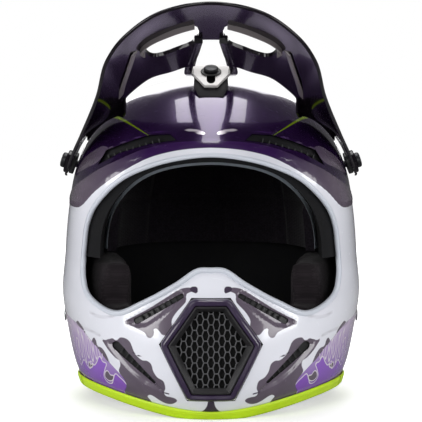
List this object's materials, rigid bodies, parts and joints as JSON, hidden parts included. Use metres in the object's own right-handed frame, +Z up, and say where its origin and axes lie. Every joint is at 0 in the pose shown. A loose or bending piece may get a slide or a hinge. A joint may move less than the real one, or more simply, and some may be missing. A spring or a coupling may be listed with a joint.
{
  "type": "motocross helmet",
  "caption": "Full-face off-road helmet with a tilting peak, wide eye port, hexagonal chin vent, lime rim trim, padded liner and D-ring chin strap.",
  "frame": {"origin": "on the surface that the helmet stands on, under the middle of the overall box", "axes": "+Z up; the face looks along -Y and the visor's tip is at -Y; +X is the wearer's left"},
  "size_m": [0.2562, 0.3994, 0.314],
  "materials": {
    "shell_paint": "gloss",
    "visor_plastic": "gloss",
    "frame_plastic": "satin",
    "lime_rubber": "satin",
    "gasket_rubber": "satin",
    "dark_plastic": "matte",
    "black_plastic": "satin",
    "filter_foam": "matte",
    "liner_foam": "matte",
    "slip_sheet": "satin",
    "liner_fabric": "matte",
    "strap_webbing": "matte",
    "ring_steel": "polished",
    "black_bolt": "satin"
  },
  "bodies": {
    "shell": {"outer_shell": "shell_paint", "eyeport_gasket": "gasket_rubber", "chin_rim_trim": "lime_rubber", "neck_rim_trim": "lime_rubber", "chin_vent_upper_left": "black_plastic", "chin_vent_upper_right": "black_plastic", "chin_vent_lower_left": "black_plastic", "chin_vent_lower_right": "black_plastic", "brow_vent_left": "black_plastic", "brow_vent_right": "black_plastic", "rear_vent_left": "black_plastic", "rear_vent_right": "black_plastic", "rear_vent_center": "black_plastic", "mouth_vent_bezel": "frame_plastic", "mouth_vent_funnel": "dark_plastic", "mouth_vent_grille": "dark_plastic", "mouth_vent_filter": "filter_foam", "impact_liner": "liner_foam", "chin_bar_foam": "liner_foam", "neck_roll": "liner_fabric", "cheek_pad_left": "liner_fabric", "cheek_pad_right": "liner_fabric", "visor_side_spacer_left": "black_plastic", "visor_side_spacer_right": "black_plastic", "visor_side_nut_left": "ring_steel", "visor_side_nut_right": "ring_steel", "visor_center_receiver": "black_plastic", "visor_center_washer": "black_plastic", "strap_rivet_left": "ring_steel", "strap_rivet_right": "ring_steel"},
    "visor": {"visor": "visor_plastic"},
    "visor_screw_left": {"visor_side_screw_left": "black_bolt"},
    "visor_screw_right": {"visor_side_screw_right": "black_bolt"},
    "center_knob": {"visor_center_knob": "black_plastic"},
    "liner": {"slip_layer": "slip_sheet", "comfort_liner": "liner_fabric"},
    "strap": {"chin_strap_left": "strap_webbing", "chin_strap_right": "strap_webbing", "strap_snap": "black_plastic"},
    "ring_lower": {"d_ring_lower": "ring_steel"},
    "ring_upper": {"d_ring_upper": "ring_steel"}
  },
  "joints": [
    {"name": "visor_tilt", "type": "hinge", "parent": "shell", "child": "visor", "pos_m": [0, 0.03575, 0.1945], "axis": [-1, 0, 0], "range_deg": [-5, 8]},
    {"name": "visor_screw_left_turn", "type": "hinge", "parent": "visor", "child": "visor_screw_left", "pos_m": [0.1135, 0.03575, 0.1945], "axis": [0.9511, 0, 0.309], "continuous": true},
    {"name": "visor_screw_right_turn", "type": "hinge", "parent": "visor", "child": "visor_screw_right", "pos_m": [-0.1135, 0.03575, 0.1945], "axis": [-0.9511, 0, 0.309], "continuous": true},
    {"name": "center_knob_turn", "type": "hinge", "parent": "shell", "child": "center_knob", "pos_m": [0, 0.03575, 0.1945], "axis": [0, -0.4695, 0.8829], "continuous": true},
    {"name": "liner_slip", "type": "hinge", "parent": "shell", "child": "liner", "pos_m": [0, 0.06275, 0.2], "axis": [0, 0, 1], "range_deg": [-3, 3], "stiffness_Nm_per_rad": 2},
    {"name": "chin_strap_swing", "type": "hinge", "parent": "shell", "child": "strap", "pos_m": [0, 0.04575, 0.066], "axis": [1, 0, 0], "range_deg": [-12, 12]},
    {"name": "d_ring_lower_swing", "type": "hinge", "parent": "strap", "child": "ring_lower", "pos_m": [-0.014, 0.04575, 0.009], "axis": [0, 1, 0], "range_deg": [-4, 4]},
    {"name": "d_ring_upper_swing", "type": "hinge", "parent": "strap", "child": "ring_upper", "pos_m": [-0.014, 0.04575, 0.0126], "axis": [0, 1, 0], "range_deg": [-4, 4]}
  ],
  "couplings": [
    {"joint": "d_ring_upper_swing", "follows": "d_ring_lower_swing", "ratio": 1}
  ]
}
